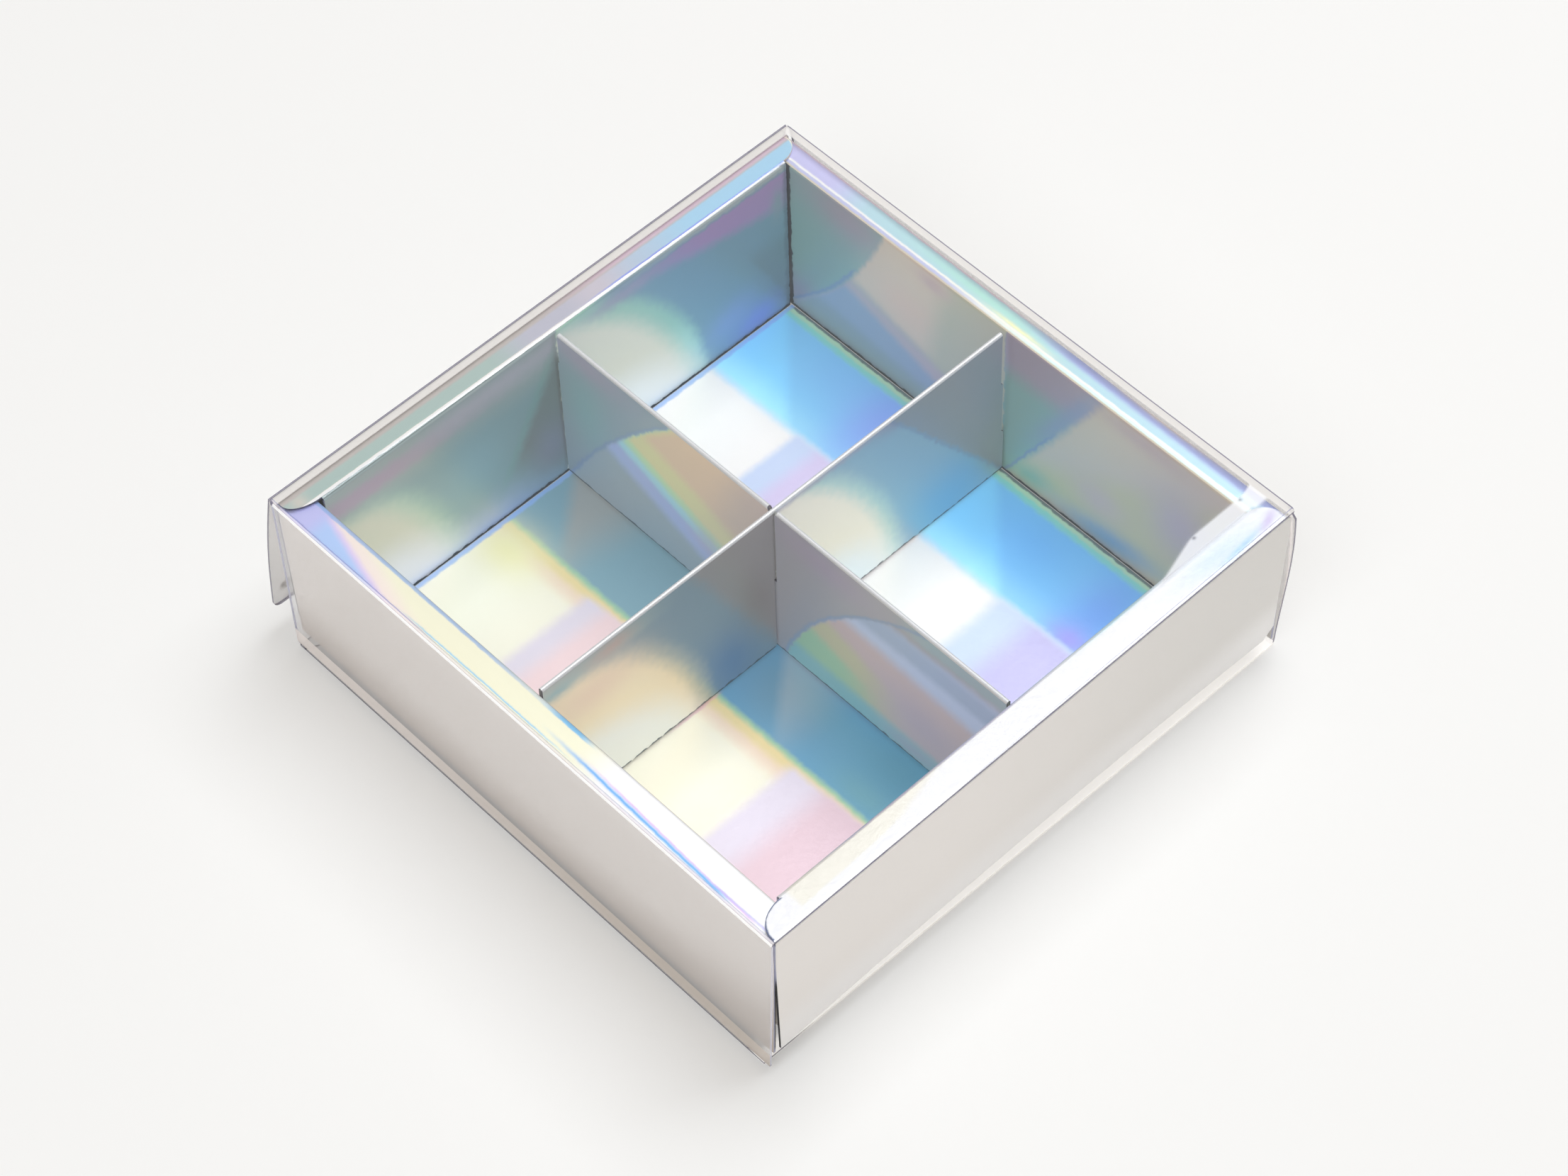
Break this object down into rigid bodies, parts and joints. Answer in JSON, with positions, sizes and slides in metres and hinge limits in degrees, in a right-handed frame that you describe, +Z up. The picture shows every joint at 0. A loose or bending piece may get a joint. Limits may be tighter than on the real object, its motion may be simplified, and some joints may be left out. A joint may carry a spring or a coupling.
{
  "type": "compartment gift box",
  "caption": "Flat square gift box: a folded silver card tray split into compartments by crossed dividers, sliding in a clear film sleeve with an end flap.",
  "frame": {"origin": "middle of the sleeve's underside, the face that the box rests on", "axes": "+Z up out of the tray's mouth, -Y towards the sleeve's open end, +Y towards its end flap, -X towards the side with the glue tab"},
  "size_m": [0.0934, 0.0975, 0.0316],
  "materials": {
    "silver_card": "silver foil laminate with a soft pastel rainbow sheen",
    "divider_card": "silver foil laminate with a soft pastel rainbow sheen, white at the folded top",
    "clear_film": "clear, glossy"
  },
  "bodies": {
    "sleeve": {"sleeve_top": "clear_film", "sleeve_left_wall": "clear_film", "sleeve_bottom": "clear_film", "sleeve_right_wall": "clear_film"},
    "flap": {"end_flap": "clear_film"},
    "tray": {"tray_floor": "silver_card", "tray_side_front_left": "silver_card", "tray_side_front_right": "silver_card", "tray_side_back_left": "silver_card", "tray_side_back_right": "silver_card", "divider_long": "divider_card", "divider_cross": "divider_card"}
  },
  "joints": [
    {"name": "tray_slide", "type": "slide", "parent": "sleeve", "child": "tray", "axis": [0, -1, 0], "range_m": [0, 0.0965]},
    {"name": "flap_hinge", "type": "hinge", "parent": "sleeve", "child": "flap", "pos_m": [0, 0.04695, 0.03145], "axis": [1, 0, 0], "range_deg": [-9, 110], "stiffness_Nm_per_rad": 0.002}
  ]
}
